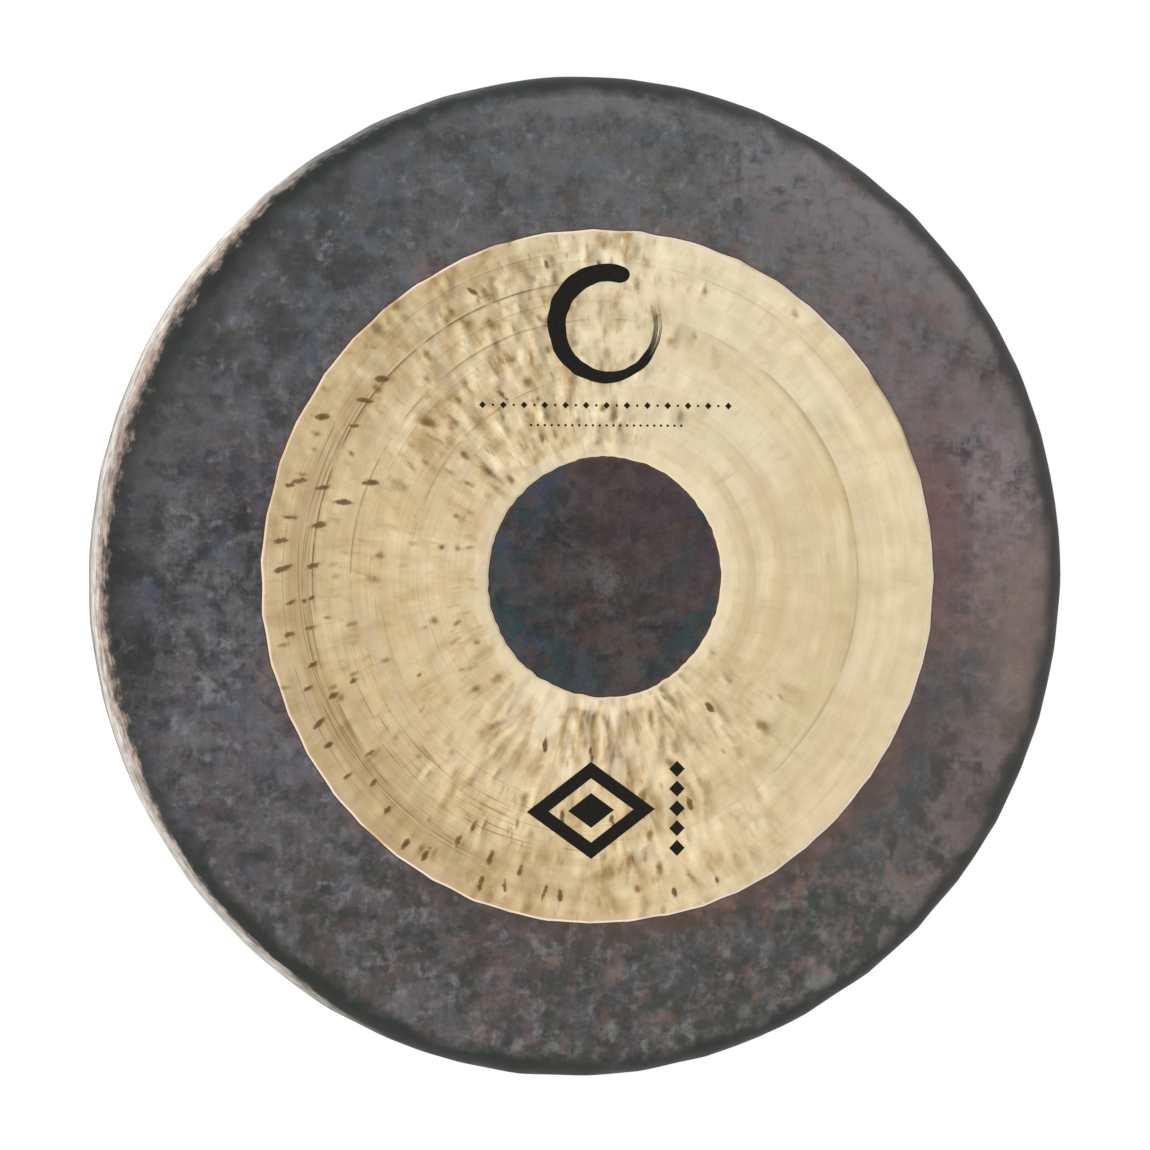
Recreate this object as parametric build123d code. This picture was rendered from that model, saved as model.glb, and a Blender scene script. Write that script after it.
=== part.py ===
from build123d import *

import math
import os

# A tam-tam (chau gong): one bronze plate, hammered flat, with its edge turned back into a
# shallow rim. Black forge scale is left on the centre spot, the outer zone and the rim, on
# both sides; between them the lathe has cut a bright band, which carries a few printed marks.
#
# Frame: millimetres, +Z up as the gong hangs, the face towards -Y, the rim turned back
# towards +Y. The origin is on the gong's axis, half way between the face and the rim's edge.

# Gong body
OUTER_RADIUS = 430.0
RIM_DEPTH = 77.0
SHOULDER_RADIUS = 26.0
RIM_LEAN = math.radians(3.6)
FACE_SLOPE = math.radians(1.3)
PLATE_THICKNESS = 1.8
SCALE_THICKNESS = 0.2

# Lathed band
CENTRE_RADIUS = 102.5
BAND_RADIUS = 296.0

# Suspension holes, drilled square through the top of the rim
HOLE_RADIUS = 4.5
HOLE_ANGLE = math.radians(16.0)
HOLE_TO_EDGE = 28.0

# Printed marks: centres are (X, Z) on the band
INK_THICKNESS = 0.1
RING_CENTRE = (5.0, 217.0)
RING_RADIUS = 52.0
RING_HOLE_RADIUS = 38.0
RING_HOLE_SHIFT = (3.5, -2.5)
RING_GAP_DIRECTION = 52.0
RING_GAP_WIDTH = 15.0
UPPER_RULE_CENTRE = (6.0, 147.5)
UPPER_RULE_LENGTH = 216.0
UPPER_RULE_COUNT = 25
LOWER_RULE_CENTRE = (6.0, 130.5)
LOWER_RULE_LENGTH = 132.0
LOWER_RULE_COUNT = 23
RULE_DIAMOND = 6.0
RULE_DOT_RADIUS = 1.1
LOZENGE_CENTRE = (-7.5, -197.5)
LOZENGE_SIZE = (113.0, 83.0)
LOZENGE_HOLE_SHARE = 0.66
LOZENGE_CORE_SHARE = 0.36
COLUMN_CENTRE = (68.5, -197.5)
COLUMN_LENGTH = 68.0
COLUMN_COUNT = 5
COLUMN_DIAMOND = 14.0

FRONT_Y = -RIM_DEPTH / 2
EDGE_Y = RIM_DEPTH / 2
BAND_Y = FRONT_Y + SCALE_THICKNESS
BACK_OF_PLATE = SCALE_THICKNESS + PLATE_THICKNESS
WALL = BACK_OF_PLATE + SCALE_THICKNESS
ARC_CENTRE_R = OUTER_RADIUS - SHOULDER_RADIUS
ARC_CENTRE_Y = (
    FRONT_Y
    + SHOULDER_RADIUS * math.cos(FACE_SLOPE)
    + (ARC_CENTRE_R + SHOULDER_RADIUS * math.sin(FACE_SLOPE) - BAND_RADIUS) * math.tan(FACE_SLOPE)
)


def arc_point(depth, angle):
    """(r, y) on the shoulder, depth under the outside, angle from the radial direction."""
    radius = SHOULDER_RADIUS - depth
    return (ARC_CENTRE_R + radius * math.cos(angle), ARC_CENTRE_Y + radius * math.sin(angle))


def slope_y(depth, r):
    """y of the sloping outer zone of the face at radius r, depth under its outside."""
    tangent_r, tangent_y = arc_point(depth, FACE_SLOPE - math.pi / 2)
    return tangent_y - (tangent_r - r) * math.tan(FACE_SLOPE)


def flat_end_r(depth):
    """Radius at which the flat middle of the face meets the sloping outer zone."""
    rise = slope_y(depth, BAND_RADIUS) - (FRONT_Y + depth)
    return BAND_RADIUS - rise / math.tan(FACE_SLOPE)


def rim_r(depth, y):
    """Radius of the leaning rim at y, depth under its outside."""
    tangent_r, tangent_y = arc_point(depth, RIM_LEAN)
    return tangent_r - (y - tangent_y) * math.tan(RIM_LEAN)


def outer_run(depth, start_r):
    """Edges from start_r on the outer zone, round the shoulder, to the rim's back edge."""
    start = (start_r, slope_y(depth, start_r))
    face_end = arc_point(depth, FACE_SLOPE - math.pi / 2)
    middle = arc_point(depth, (FACE_SLOPE - math.pi / 2 + RIM_LEAN) / 2)
    rim_start = arc_point(depth, RIM_LEAN)
    rim_end = (rim_r(depth, EDGE_Y), EDGE_Y)
    edges = [
        Line(start, face_end),
        ThreePointArc(face_end, middle, rim_start),
        Line(rim_start, rim_end),
    ]
    return edges, start, rim_end


def revolved(edges):
    return revolve(make_face(edges), Axis.Y)


def layer(depth, next_depth):
    """A layer of the outer zone, shoulder and rim, between two depths under the outside."""
    outside, start, end = outer_run(depth, BAND_RADIUS)
    inside, back_start, back_end = outer_run(next_depth, BAND_RADIUS)
    return revolved(outside + inside + [Line(start, back_start), Line(end, back_end)])


def plate():
    """The bronze itself, all in one piece, from the axis to the rim's edge."""
    outside, front_corner, front_end = outer_run(SCALE_THICKNESS, flat_end_r(SCALE_THICKNESS))
    inside, back_corner, back_end = outer_run(BACK_OF_PLATE, flat_end_r(BACK_OF_PLATE))
    front_middle = (0, front_corner[1])
    back_middle = (0, back_corner[1])
    closing = [
        Line(front_middle, front_corner),
        Line(back_middle, back_corner),
        Line(front_middle, back_middle),
        Line(front_end, back_end),
    ]
    return revolved(outside + inside + closing)


def centre_spot(y):
    """A disc of forge scale on the middle of the face, its -Y side at y."""
    return disc_plane(y) * Cylinder(
        CENTRE_RADIUS, SCALE_THICKNESS, align=(Align.CENTER, Align.CENTER, Align.MIN)
    )


def disc_plane(y):
    return Plane(origin=(0, y, 0), x_dir=(1, 0, 0), z_dir=(0, 1, 0))


def suspension_drill(angle):
    """A drill standing square to the rim wall, angle to one side of the top."""
    hole_y = EDGE_Y - HOLE_TO_EDGE
    hole_r = rim_r(WALL / 2, hole_y)
    radial = Vector(math.sin(angle), 0, math.cos(angle))
    square = radial * math.cos(RIM_LEAN) + Vector(0, math.sin(RIM_LEAN), 0)
    place = Plane(origin=radial * hole_r + Vector(0, hole_y, 0), z_dir=square)
    return place * Cylinder(HOLE_RADIUS, 10 * WALL)


def printed(sketch):
    """Ink of an (X, Z) sketch, lying on the front of the band."""
    band = Plane(origin=(0, BAND_Y, 0), x_dir=(1, 0, 0), z_dir=(0, -1, 0))
    return extrude(band * sketch, INK_THICKNESS)


def diamond(width, height):
    return Polygon((width / 2, 0), (0, height / 2), (-width / 2, 0), (0, -height / 2))


def spread(count, length):
    """Evenly spaced places along a length, about its middle."""
    return [(i / (count - 1) - 0.5) * length for i in range(count)]


def brushed_ring():
    """An open brush ring: thicker on one side, with a gap where the stroke begins."""
    ring = Circle(RING_RADIUS) - Pos(*RING_HOLE_SHIFT) * Circle(RING_HOLE_RADIUS)
    gap = Rot(0, 0, RING_GAP_DIRECTION) * Pos(RING_RADIUS, 0) * Rectangle(
        RING_RADIUS, RING_GAP_WIDTH
    )
    return printed(Pos(*RING_CENTRE) * (ring - gap))


def upper_rule():
    """A fine row of diamonds with dots between them."""
    row = Sketch()
    for i, x in enumerate(spread(UPPER_RULE_COUNT, UPPER_RULE_LENGTH)):
        shape = diamond(RULE_DIAMOND, RULE_DIAMOND) if i % 2 == 0 else Circle(RULE_DOT_RADIUS)
        row += Pos(x, 0) * shape
    return printed(Pos(*UPPER_RULE_CENTRE) * row)


def lower_rule():
    """A shorter row of dots."""
    row = Sketch()
    for x in spread(LOWER_RULE_COUNT, LOWER_RULE_LENGTH):
        row += Pos(x, 0) * Circle(RULE_DOT_RADIUS)
    return printed(Pos(*LOWER_RULE_CENTRE) * row)


def lozenge():
    """A bold diamond frame round a solid diamond."""
    width, height = LOZENGE_SIZE
    frame = diamond(width, height) - diamond(width * LOZENGE_HOLE_SHARE, height * LOZENGE_HOLE_SHARE)
    core = diamond(width * LOZENGE_CORE_SHARE, height * LOZENGE_CORE_SHARE)
    return printed(Pos(*LOZENGE_CENTRE) * (frame + core))


def diamond_column():
    """A column of small diamonds beside the lozenge."""
    column = Sketch()
    for z in spread(COLUMN_COUNT, COLUMN_LENGTH):
        column += Pos(0, z) * diamond(COLUMN_DIAMOND, COLUMN_DIAMOND)
    return printed(Pos(*COLUMN_CENTRE) * column)


drills = [suspension_drill(-HOLE_ANGLE), suspension_drill(HOLE_ANGLE)]

nodes = {
    "bronze_plate": plate() - drills,
    "outer_scale_front": layer(0, SCALE_THICKNESS) - drills,
    "outer_scale_back": layer(BACK_OF_PLATE, WALL) - drills,
    "centre_scale_front": centre_spot(FRONT_Y),
    "centre_scale_back": centre_spot(FRONT_Y + BACK_OF_PLATE),
    "ink_brushed_ring": brushed_ring(),
    "ink_upper_rule": upper_rule(),
    "ink_lower_rule": lower_rule(),
    "ink_lozenge": lozenge(),
    "ink_diamond_column": diamond_column(),
}

os.makedirs("parts", exist_ok=True)
for name, shape in nodes.items():
    export_step(shape, f"parts/{name}.step")
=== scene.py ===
import math

import bmesh
import bpy
import numpy as np
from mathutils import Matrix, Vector


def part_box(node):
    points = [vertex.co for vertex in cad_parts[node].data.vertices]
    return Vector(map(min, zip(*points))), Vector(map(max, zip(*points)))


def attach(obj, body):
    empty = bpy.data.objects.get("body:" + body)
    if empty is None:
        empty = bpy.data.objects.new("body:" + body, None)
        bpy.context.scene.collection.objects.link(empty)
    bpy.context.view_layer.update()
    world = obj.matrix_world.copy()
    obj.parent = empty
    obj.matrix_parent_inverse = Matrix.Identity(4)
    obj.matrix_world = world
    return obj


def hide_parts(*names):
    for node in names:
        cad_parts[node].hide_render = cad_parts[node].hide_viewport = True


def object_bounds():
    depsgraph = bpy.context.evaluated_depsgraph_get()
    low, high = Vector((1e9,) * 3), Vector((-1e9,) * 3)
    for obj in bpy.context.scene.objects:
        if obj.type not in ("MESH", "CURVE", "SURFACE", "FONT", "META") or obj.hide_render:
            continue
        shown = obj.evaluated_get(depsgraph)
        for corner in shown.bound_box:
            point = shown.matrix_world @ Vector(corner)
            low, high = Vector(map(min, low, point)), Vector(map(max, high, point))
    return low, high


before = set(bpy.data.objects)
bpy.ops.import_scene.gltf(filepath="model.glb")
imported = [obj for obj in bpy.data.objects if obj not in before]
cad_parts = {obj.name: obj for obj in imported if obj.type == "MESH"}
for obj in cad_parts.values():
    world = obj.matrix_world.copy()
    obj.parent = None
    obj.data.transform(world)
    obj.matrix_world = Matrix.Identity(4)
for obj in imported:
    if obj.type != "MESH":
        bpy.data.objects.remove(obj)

# The visual model of the tam-tam, in metres, in the CAD's frame: +Z up, the face towards -Y.
# Angles round the face are in degrees, counter-clockwise from 3 o'clock as seen from the front.

cad_low, cad_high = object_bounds()

# ---------------------------------------------------------------- sizes

MM = 0.001
SKIN = 1.3 * MM                  # room inside the CAD's outline for the hammer marks
OUTER_RADIUS = cad_high.x - SKIN
FRONT_Y = cad_low.y + SKIN
EDGE_Y = cad_high.y
CENTRE_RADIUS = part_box("centre_scale_front")[1].x
BAND_RADIUS = 296 * MM
BAND_CENTRE = (5 * MM, 1.3 * MM)  # the lathe was set up a little off the outline's centre
SHOULDER_RADIUS = 25.3 * MM
RIM_LEAN = math.radians(3.6)
FACE_SLOPE = math.radians(1.3)
SCALE_STEP = 0.25 * MM           # the lathed band lies this far under the forge scale
WALL = 2.2 * MM
HOLE_RADIUS = 4.5 * MM
HOLE_ANGLES = (74, 106)
HOLE_TO_EDGE = 28 * MM

TURNS = 1000                     # points round the gong
FACE_RINGS, ARC_RINGS, RIM_RINGS = 40, 22, 20
BAND_RINGS, CENTRE_RINGS = 86, 52
BAND_SLOPE = 1.6 * MM            # width of the step between the scale and the lathed band
FADE = 25 * MM                   # the face's relief dies out over this, up to the shoulder
MAP_STEP = 1 * MM                # pitch of the relief maps
MAP_REACH = 440 * MM

rng = np.random.default_rng(34)


# ---------------------------------------------------------------- relief maps

def smooth_noise(size, blur, seed_rng):
    """Noise of unit height, periodic, blurred over blur cells along each axis."""
    white = seed_rng.standard_normal(size)
    waves = [np.fft.fftfreq(n) for n in size]
    blur_x, blur_y = blur
    keep = np.exp(-2 * (np.pi * waves[0][:, None] * blur_x) ** 2
                  - 2 * (np.pi * waves[1][None, :] * blur_y) ** 2)
    field = np.real(np.fft.ifft2(np.fft.fft2(white) * keep))
    return field / field.std()


class Map:
    """A square map over the face, in X and Z, that can be stamped and sampled smoothly."""

    def __init__(self):
        self.count = int(2 * MAP_REACH / MAP_STEP) + 1
        self.cells = np.zeros((self.count, self.count))
        axis = (np.arange(self.count) * MAP_STEP) - MAP_REACH
        self.x, self.z = np.meshgrid(axis, axis, indexing="ij")

    def add_noise(self, height, blur):
        cells = (blur / MAP_STEP, blur / MAP_STEP)
        self.cells += height * smooth_noise(self.cells.shape, cells, rng)

    def stamp(self, x, z, along, half_length, half_width, height, deepest=False, bowl=False):
        """An oval mark at (x, z), soft or a bowl, its length in the direction along (radians)."""
        reach = 2.4 * max(half_length, half_width)
        low = [max(0, int((v - reach + MAP_REACH) / MAP_STEP)) for v in (x, z)]
        high = [min(self.count, int((v + reach + MAP_REACH) / MAP_STEP) + 2) for v in (x, z)]
        if low[0] >= high[0] or low[1] >= high[1]:
            return
        part = (slice(low[0], high[0]), slice(low[1], high[1]))
        dx, dz = self.x[part] - x, self.z[part] - z
        u = (dx * math.cos(along) + dz * math.sin(along)) / half_length
        v = (-dx * math.sin(along) + dz * math.cos(along)) / half_width
        mark = height * (np.maximum(0, 1 - u * u - v * v) if bowl else np.exp(-(u * u + v * v)))
        if deepest:
            self.cells[part] = np.maximum(self.cells[part], mark)
        else:
            self.cells[part] += mark

    def sample(self, x, z):
        """Cubic (Catmull-Rom) samples at arrays of x and z."""
        gx = (np.asarray(x) + MAP_REACH) / MAP_STEP
        gz = (np.asarray(z) + MAP_REACH) / MAP_STEP
        ix = np.clip(np.floor(gx).astype(int), 1, self.count - 3)
        iz = np.clip(np.floor(gz).astype(int), 1, self.count - 3)
        weights_x, weights_z = cubic_weights(gx - ix), cubic_weights(gz - iz)
        total = np.zeros(np.broadcast(gx, gz).shape)
        for i in range(4):
            for j in range(4):
                total += weights_x[i] * weights_z[j] * self.cells[ix + i - 1, iz + j - 1]
        return total


def cubic_weights(t):
    t = np.clip(t, 0, 1)
    return (
        -0.5 * t + t * t - 0.5 * t ** 3,
        1 - 2.5 * t * t + 1.5 * t ** 3,
        0.5 * t + 2 * t * t - 1.5 * t ** 3,
        -0.5 * t * t + 0.5 * t ** 3,
    )


def on_face(angle, radius):
    """(x, z) at a polar place about the lathe's centre."""
    turn = math.radians(angle)
    return BAND_CENTRE[0] + radius * math.cos(turn), BAND_CENTRE[1] + radius * math.sin(turn)


def lobe(angle, middle, width):
    off = (angle - middle + 180) % 360 - 180
    return math.exp(-((off / width) ** 2))


def scatter(count, inner, outer, lean=1.0):
    """Random (angle, radius) places in a ring of the face, thicker inwards as lean grows."""
    for _ in range(count):
        share = rng.uniform(0, 1) ** lean
        yield rng.uniform(0, 360), inner + share * (outer - inner)


def dent(relief, stain, angle, radius, length, width, depth, stained, turned=0.17):
    """A hammer dent, lengthwise near the radius, with scale left in it where it's deep."""
    x, z = on_face(angle, radius)
    along = math.radians(angle) + rng.normal(0, turned)
    relief.stamp(x, z, along, length, width, depth)
    if rng.uniform(0, 1) < stained:
        slide = rng.uniform(-0.3, 0.3) * length
        stain.stamp(x + slide * math.cos(along), z + slide * math.sin(along), along,
                    length * rng.uniform(0.45, 1.0), width * rng.uniform(0.5, 0.9),
                    rng.uniform(0.3, 1.0), deepest=True)


def planish(relief, count, lengths, widths, depths):
    """Broad hammer marks over the whole face, from ranges in mm."""
    for angle, radius in scatter(count, 0, OUTER_RADIUS, 0.5):
        x, z = on_face(angle, radius)
        relief.stamp(x, z, rng.uniform(0, math.pi), rng.uniform(*lengths) * MM,
                     rng.uniform(*widths) * MM, rng.uniform(*depths) * MM)


def make_front_maps():
    relief, stain, pits = Map(), Map(), Map()
    relief.add_noise(0.15 * MM, 34 * MM)
    relief.add_noise(0.05 * MM, 14 * MM)
    inner, outer = CENTRE_RADIUS + 3 * MM, BAND_RADIUS - 4 * MM
    planish(relief, 1000, (10, 18), (9, 15), (0.03, 0.09))
    # the crumpled parts of the band, most at the top left: bowls that meet in ridges, and dents
    blows = Map()
    for angle, radius in scatter(2400, inner, outer, 0.75):
        strength = max(lobe(angle, 116, 44), 0.6 * lobe(angle, 272, 42))
        if rng.uniform(0, 1) < strength:
            x, z = on_face(angle, radius)
            blows.stamp(x, z, math.radians(angle) + rng.normal(0, 0.5),
                        rng.uniform(8, 15) * MM, rng.uniform(6, 10) * MM,
                        rng.uniform(0.10, 0.34) * MM * strength, deepest=True, bowl=True)
    relief.cells += blows.cells
    by_centre = (CENTRE_RADIUS + 1 * MM, CENTRE_RADIUS + 60 * MM)
    for count, ring, lean, thick, length, width, depth, signs, stained, turned in (
        # large dents at the top left
        (1700, (inner, outer), 0.75, [(1, 112, 32)], (6, 13), (3.6, 7), (0.06, 0.32),
         (1, 1, -0.6), 0.40, 0.3),
        # long narrow dents at the bottom, thickest by the centre
        (1300, (inner, outer), 1.15, [(1, 268, 37)], (8, 18), (3.2, 6.4), (0.06, 0.30),
         (1, 1, -0.6), 0.36, 0.22),
        # short deep dents against the centre's edge, at the lower right
        (420, by_centre, 1.3, [(1, 290, 24)], (6, 13), (2.8, 5), (0.10, 0.32), (), 0.6, 0.2),
        # smaller, sparser dents on the rest of the band, hardly any at the right
        (2400, (inner, outer), 1.1, [(0.34, 180, 50), (0.12, 315, 20)], (4, 9), (2.6, 5),
         (0.03, 0.14), (), 0.35, 0.17),
    ):
        for angle, radius in scatter(count, *ring, lean):
            if rng.uniform(0, 1) < sum(share * lobe(angle, *where) for share, *where in thick):
                dent(relief, stain, angle, radius, rng.uniform(*length) * MM,
                     rng.uniform(*width) * MM, rng.uniform(*depth) * MM
                     * (rng.choice(signs) if signs else 1), stained, turned)
    # pits that the lathe missed: rows of short dashes near the band's outer edge
    rows = [
        (0.935, 152, 262, 5.3, 0.85), (0.862, 138, 258, 6.4, 0.8), (0.80, 150, 250, 13, 0.5),
        (0.72, 110, 250, 16, 0.4), (0.90, 92, 128, 8, 0.45), (0.93, 262, 292, 7, 0.45),
        (0.70, 250, 300, 10, 0.5), (0.60, 120, 140, 9, 0.5), (0.50, 250, 320, 15, 0.4),
    ]
    for share, start, end, spacing, chance in rows:
        for angle in np.arange(start, end, spacing):
            if rng.uniform(0, 1) > chance:
                continue
            radius = BAND_RADIUS * share + rng.normal(0, 3.2) * MM
            x, z = on_face(angle + rng.normal(0, 0.8), radius)
            tilt = 0.38 * min(1.0, max(0.0, (230 - angle) / 80))
            along = math.radians(angle) + rng.normal(tilt, 0.14)
            half_length, half_width = rng.uniform(5.5, 10.5) * MM, rng.uniform(2.3, 3.5) * MM
            pits.stamp(x, z, along, half_length, half_width, rng.uniform(0.75, 1.0), deepest=True)
            relief.stamp(x, z, along, half_length, half_width, 0.12 * MM)
            if rng.uniform(0, 1) < 0.2:
                next_x = x + half_length * 0.9 * math.cos(along + 0.25)
                next_z = z + half_length * 0.9 * math.sin(along + 0.25)
                pits.stamp(next_x, next_z, along, half_length * 0.6, half_width * 0.8, 0.9,
                           deepest=True)
    return relief, stain, pits


def make_back_maps(front):
    """The back follows the front's dents, seen from behind, and has some of its own."""
    relief, stain, pits = Map(), Map(), Map()
    planish(relief, 1500, (9, 16), (8, 13), (0.03, 0.10))
    for angle, radius in scatter(2000, CENTRE_RADIUS, BAND_RADIUS):
        dent(relief, stain, angle, radius, rng.uniform(5, 13) * MM, rng.uniform(2.6, 5) * MM,
             rng.uniform(-0.05, 0.12) * MM, 0.14)
        if rng.uniform(0, 1) < 0.025:
            x, z = on_face(angle, radius)
            pits.stamp(x, z, math.radians(angle), 7 * MM, 3.2 * MM, rng.uniform(0.8, 1.0),
                       deepest=True)
    relief.cells = front[0].cells - np.minimum(relief.cells, 0.8 * MM)
    return relief, stain, pits


front_maps = make_front_maps()
back_maps = make_back_maps(front_maps)


# ---------------------------------------------------------------- profile of the gong

ARC_R = OUTER_RADIUS - SHOULDER_RADIUS
ARC_Y = (
    FRONT_Y
    + SHOULDER_RADIUS * math.cos(FACE_SLOPE)
    + (ARC_R + SHOULDER_RADIUS * math.sin(FACE_SLOPE) - BAND_RADIUS) * math.tan(FACE_SLOPE)
)


def slope_y(r):
    """y of the outside of the face at radius r: flat to the band's edge, then falling back."""
    return FRONT_Y + np.maximum(0, np.asarray(r) - BAND_RADIUS) * math.tan(FACE_SLOPE)


def outside_profile():
    """Points (r, y) and normals, from the band's edge to the rim's edge."""
    face_r = np.linspace(BAND_RADIUS, ARC_R, FACE_RINGS)[:-1]
    face = [(r, float(slope_y(r)), math.sin(FACE_SLOPE), -math.cos(FACE_SLOPE)) for r in face_r]
    angles = np.linspace(FACE_SLOPE - math.pi / 2, RIM_LEAN, ARC_RINGS)
    arc = [(ARC_R + SHOULDER_RADIUS * math.cos(a), ARC_Y + SHOULDER_RADIUS * math.sin(a),
            math.cos(a), math.sin(a)) for a in angles]
    start_r, start_y = arc[-1][0], arc[-1][1]
    rim_y = np.linspace(start_y, EDGE_Y, RIM_RINGS)[1:]
    rim = [(start_r - (y - start_y) * math.tan(RIM_LEAN), y, math.cos(RIM_LEAN), math.sin(RIM_LEAN))
           for y in rim_y]
    return np.array(face + arc + rim)


PROFILE = outside_profile()
ROUND = np.arange(TURNS) * 2 * np.pi / TURNS


def wander(amplitude, seed):
    """A slow unevenness round the gong, for edges cut and hammered by hand."""
    local = np.random.default_rng(seed)
    total = np.zeros(TURNS)
    for wave in range(2, 70):
        total += np.cos(wave * ROUND + local.uniform(0, 2 * np.pi)) * local.normal() / wave ** 0.6
    return amplitude * total / np.abs(total).max()


def facets(radius, seed):
    """How far the flats between hammer blows, 6 to 9 degrees long, lie inside a circle."""
    local = np.random.default_rng(seed)
    corners = [0.0]
    while corners[-1] < 2 * np.pi:
        corners.append(corners[-1] + math.radians(local.uniform(6, 9)))
    corners = np.array(corners)
    which = np.searchsorted(corners, ROUND, side="right") - 1
    middle = (corners[which] + corners[which + 1]) / 2
    half = (corners[which + 1] - corners[which]) / 2
    return radius * (np.cos(half) / np.cos(ROUND - middle) - 1)


FACETED = np.array([0.35 + 0.65 * lobe(math.degrees(turn), 308, 34) for turn in ROUND])
OUTLINE = wander(0.8 * MM, 3) + FACETED * facets(OUTER_RADIUS, 13)
BAND_EDGE = wander(1.3 * MM, 5) + 1.2 * facets(BAND_RADIUS, 15)
CENTRE_EDGE = wander(1.0 * MM, 7)
RIM_HAMMER = 0.16 * MM * smooth_noise((TURNS, len(PROFILE)), (4.5, 6), rng)


def outer_surface(depth, maps):
    """x, y, z of the outer zone, shoulder and rim, depth under the outside, ring by ring."""
    along = np.linspace(0, 1, len(PROFILE))
    r = PROFILE[:, 0] - depth * PROFILE[:, 2]
    y = PROFILE[:, 1] - depth * PROFILE[:, 3]
    fade = np.clip((ARC_R - PROFILE[:, 0]) / FADE, 0, 1)[:, None]
    fade = fade * fade * (3 - 2 * fade)
    flat = np.clip((ARC_R - PROFILE[:, 0]) / (ARC_R - BAND_RADIUS), 0, 1)[:, None]
    ring = r[:, None] + OUTLINE[None, :] * (1 - flat) + BAND_EDGE[None, :] * flat
    x = ring * np.cos(ROUND) + BAND_CENTRE[0] * flat
    z = ring * np.sin(ROUND) + BAND_CENTRE[1] * flat
    face_relief = maps[0].sample(x, z) * fade
    end = np.clip((1 - along) * len(along) / 3, 0, 1)[:, None]
    rim_relief = RIM_HAMMER.T * (1 - fade) * end
    push = face_relief + rim_relief
    x = x - push * PROFILE[:, 2][:, None] * np.cos(ROUND)
    z = z - push * PROFILE[:, 2][:, None] * np.sin(ROUND)
    y = y[:, None] - push * PROFILE[:, 3][:, None]
    return np.stack([x, y, z], axis=-1)


# ---------------------------------------------------------------- meshes

def quads_between(count, turns, closed):
    """Quads joining count rings of turns points each, round and round."""
    ring = np.arange(turns)
    nxt = (ring + 1) % turns
    rows = range(count if closed else count - 1)
    faces = [np.stack([k * turns + ring, k * turns + nxt,
                       (k + 1) % count * turns + nxt, (k + 1) % count * turns + ring], axis=1)
             for k in rows]
    return np.concatenate(faces)


def new_piece(name, points, faces):
    mesh = bpy.data.meshes.new(name)
    mesh.from_pydata(np.asarray(points).tolist(), [], [list(map(int, f)) for f in faces])
    piece = bpy.data.objects.new(name, mesh)
    bpy.context.scene.collection.objects.link(piece)
    tidy_normals(piece)
    return piece


def tidy_normals(piece, sharp=40):
    work = bmesh.new()
    work.from_mesh(piece.data)
    bmesh.ops.recalc_face_normals(work, faces=work.faces)
    work.to_mesh(piece.data)
    work.free()
    piece.data.shade_smooth()
    piece.data.set_sharp_from_angle(angle=math.radians(sharp))


def ring_solid(name, rings):
    """A closed solid whose section runs through all the rings and back to the first."""
    count, turns = rings.shape[:2]
    return new_piece(name, rings.reshape(-1, 3), quads_between(count, turns, closed=True))


def disc_solid(name, rings, first_pole, last_pole):
    """A closed solid from one middle point, out through the rings, to another middle point."""
    count, turns = rings.shape[:2]
    points = np.concatenate([rings.reshape(-1, 3), [first_pole, last_pole]])
    faces = quads_between(count, turns, closed=False).tolist()
    first, last = count * turns, count * turns + 1
    for j in range(turns):
        nxt = (j + 1) % turns
        faces.append((first, nxt, j))
        faces.append((last, (count - 1) * turns + j, (count - 1) * turns + nxt))
    return new_piece(name, points, faces)


def outer_piece(name, surfaces):
    """The part of the wall between an outside surface and the middle of the wall."""
    shown, middle = surfaces
    return ring_solid(name, np.concatenate([shown, middle[::-1]]))


def every_fourth(rings):
    picked = list(range(0, len(rings) - 1, 4)) + [len(rings) - 1]
    return rings[picked]


def band_radii():
    """Distances of the band's rings from its inner edge, as shares, close-set at both edges."""
    width = BAND_RADIUS - CENTRE_RADIUS
    near = np.array([0, 0.5, 1.0, 1.6, 2.6]) * MM / width
    return np.r_[near, np.linspace(near[-1], 1 - near[-1], BAND_RINGS)[1:-1], 1 - near[::-1]]


def around(ring):
    """x and z of a ring of the lathed face, from its radius at each turn."""
    return ring * np.cos(ROUND) + BAND_CENTRE[0], ring * np.sin(ROUND) + BAND_CENTRE[1]


def band_surface(y, step, maps):
    """The lathed band: sunk by step in +Y from the scale, with a narrow slope at each edge."""
    inner, outer = CENTRE_RADIUS + CENTRE_EDGE, BAND_RADIUS + BAND_EDGE
    rings = []
    for share in band_radii():
        x, z = around(inner + share * (outer - inner))
        gap = min(share, 1 - share) * (BAND_RADIUS - CENTRE_RADIUS)
        sunk = step * min(1.0, gap / BAND_SLOPE)
        rings.append(np.stack([x, y + sunk + maps[0].sample(x, z), z], axis=1))
    return np.array(rings)


def centre_surface(y, maps):
    rings = []
    for share in np.linspace(0.03, 1, CENTRE_RINGS):
        x, z = around(share * (CENTRE_RADIUS + CENTRE_EDGE))
        rings.append(np.stack([x, y + maps[0].sample(x, z), z], axis=1))
    return np.array(rings)


def pole(y, maps):
    x, z = BAND_CENTRE
    return (x, y + float(maps[0].sample(np.array([x]), np.array([z]))[0]), z)


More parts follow.
